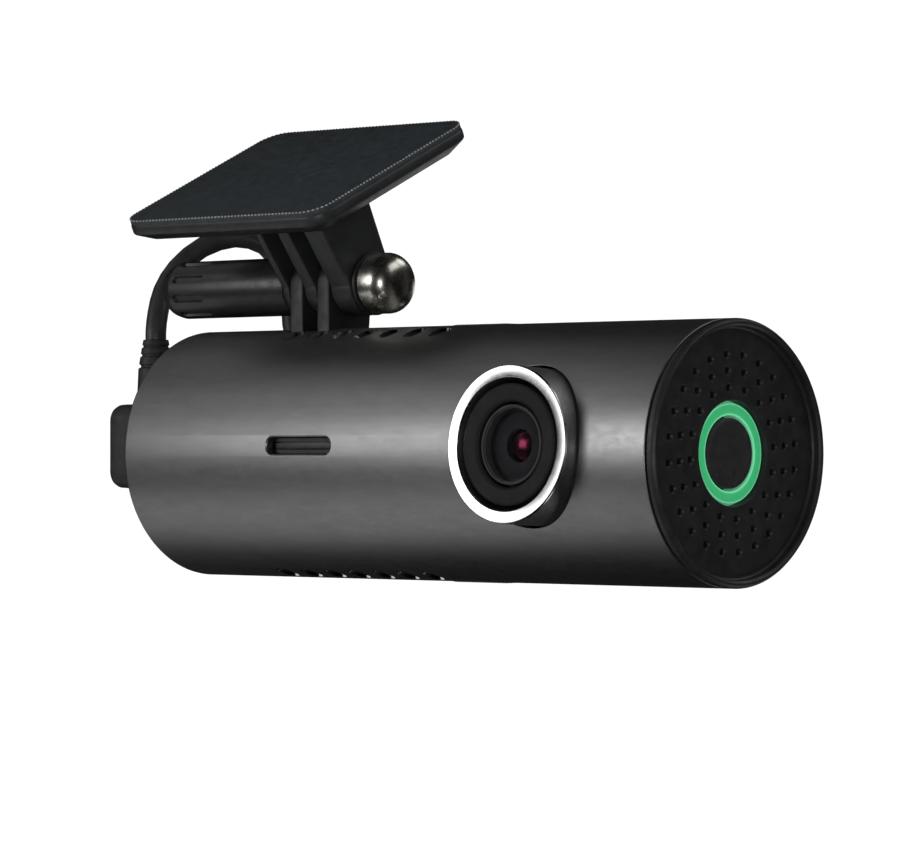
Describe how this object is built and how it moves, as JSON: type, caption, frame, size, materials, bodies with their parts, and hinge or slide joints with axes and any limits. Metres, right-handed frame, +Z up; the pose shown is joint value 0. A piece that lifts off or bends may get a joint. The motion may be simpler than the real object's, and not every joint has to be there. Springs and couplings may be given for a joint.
{
  "type": "dash camera",
  "caption": "Tubular dash camera hanging by a clamped hinge from a sloping windscreen mount, with a right-angle power plug and its tied cord.",
  "frame": {"origin": "centre of the adhesive face of the windscreen mount", "axes": "+X along the camera tube towards the button end, -Y the way the lens looks, +Z up; the adhesive face slopes 25 degrees about X"},
  "size_m": [0.1053, 0.0675, 0.0592],
  "materials": {
    "casing_metal": "satin, fine grain",
    "black_plastic": "fine texture",
    "green_light": "frosted light guide",
    "steel": "plated",
    "circuit_board": "solder mask",
    "led_resin": "clear resin",
    "cone_paper": "pressed paper",
    "chrome_trim": "polished",
    "gloss_black": "gloss",
    "lens_black_metal": "anodised black",
    "lens_glass": "coated",
    "ribbon_film": "film",
    "chip_resin": "moulded",
    "bare_aluminium": "extruded",
    "battery_wrap": "shrink film",
    "card_black": "moulded",
    "mount_plastic": "fine texture",
    "adhesive_foam": "foam",
    "bolt_metal": "dark plated",
    "insert_brass": "turned",
    "plug_rubber": "moulded matte",
    "cord_rubber": "smooth jacket",
    "tie_fabric": "woven hook and loop"
  },
  "bodies": {
    "mount": {"mount_bracket": "mount_plastic", "adhesive_pad": "adhesive_foam", "clamp_bolt": "bolt_metal", "bolt_washer": "black_plastic"},
    "camera": {"casing_tube": "casing_metal", "grille_cap": "black_plastic", "led_light_ring": "green_light", "power_end_cap": "black_plastic", "end_cap_screw_1": "steel", "end_cap_screw_2": "steel", "inner_frame": "black_plastic", "button_board": "circuit_board", "button_switch": "steel", "ring_led_1": "led_resin", "ring_led_2": "led_resin", "ring_led_3": "led_resin", "ring_led_4": "led_resin", "microphone": "steel", "speaker_basket": "black_plastic", "speaker_magnet": "steel", "speaker_cone": "cone_paper", "lens_bezel": "chrome_trim", "lens_surround": "gloss_black", "lens_barrel": "lens_black_metal", "lens_front_glass": "lens_glass", "lens_middle_glass": "lens_glass", "lens_rear_glass": "lens_glass", "lens_holder": "black_plastic", "image_sensor": "gloss_black", "sensor_board": "circuit_board", "sensor_ribbon": "ribbon_film", "main_board": "circuit_board", "processor_chip": "chip_resin", "heat_sink": "bare_aluminium", "wifi_module": "steel", "backup_battery": "battery_wrap", "card_socket": "steel", "card_slot_trim": "black_plastic", "power_socket": "steel", "hinge_lug": "black_plastic", "lug_screw_1": "steel", "lug_screw_2": "steel", "power_plug_overmould": "plug_rubber", "power_plug_tip": "steel", "power_cord_strain_relief": "plug_rubber", "power_cord": "cord_rubber", "cord_hank": "cord_rubber", "hank_tie": "tie_fabric", "power_cord_tail": "cord_rubber", "usb_strain_relief": "plug_rubber", "usb_plug_overmould": "plug_rubber", "usb_plug_shell": "steel", "usb_plug_tongue": "black_plastic"},
    "button": {"function_button": "black_plastic"},
    "card": {"memory_card": "card_black"},
    "knob": {"clamp_knob": "black_plastic", "knob_threaded_insert": "insert_brass"}
  },
  "joints": [
    {"name": "tilt", "type": "hinge", "parent": "mount", "child": "camera", "pos_m": [0, 0.00233, -0.01469], "axis": [1, 0, 0], "range_deg": [-45, 50]},
    {"name": "knob_turn", "type": "hinge", "parent": "mount", "child": "knob", "pos_m": [0, 0.00233, -0.01469], "axis": [1, 0, 0], "continuous": true},
    {"name": "button_press", "type": "slide", "parent": "camera", "child": "button", "axis": [-1, 0, 0], "range_m": [0, 0.0004], "stiffness_N_per_m": 2000, "springref_m": -0.0001},
    {"name": "card_slide", "type": "slide", "parent": "camera", "child": "card", "axis": [0, -1, 0], "range_m": [-0.001, 0.012]}
  ]
}
